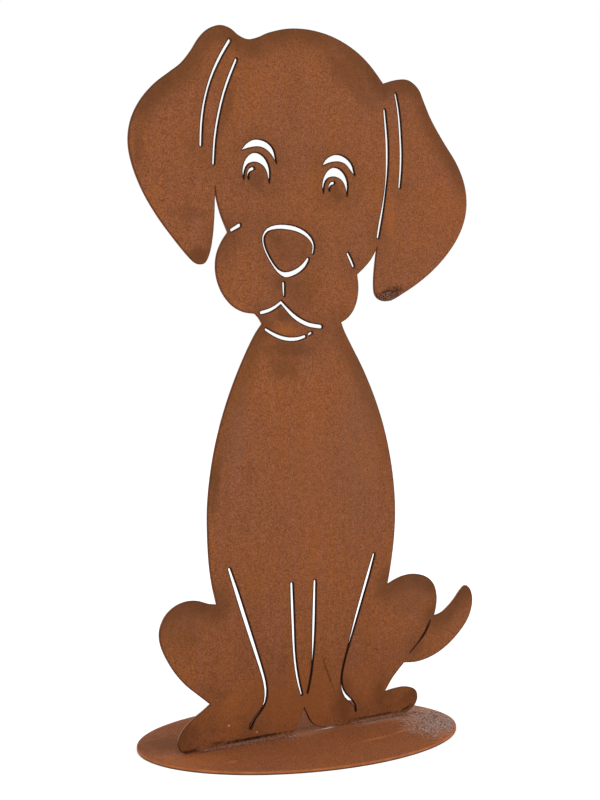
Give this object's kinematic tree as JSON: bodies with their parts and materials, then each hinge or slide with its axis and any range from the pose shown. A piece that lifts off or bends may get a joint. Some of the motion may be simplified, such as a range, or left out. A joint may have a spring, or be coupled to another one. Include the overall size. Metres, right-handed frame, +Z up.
{
  "type": "flat rusted steel garden dog on an oval foot plate",
  "caption": "Sitting puppy cut as a flat silhouette from thin rusted sheet steel, its face and legs drawn by slots, welded upright on an oval plate.",
  "frame": {"origin": "centre of the oval plate's underside", "axes": "+Z up the sheet from the plate to the head, +X along the sheet to the viewer's right, +Y from the drawn face to the back"},
  "size_m": [0.2755, 0.162, 0.4439],
  "materials": {
    "sheet_rust": "matte",
    "plate_rust": "matte",
    "weld_rust": "matte"
  },
  "bodies": {
    "root": {"oval_plate": "plate_rust", "puppy_sheet": "sheet_rust", "weld_bead_left": "weld_rust", "weld_bead_right": "weld_rust"}
  },
  "joints": []
}
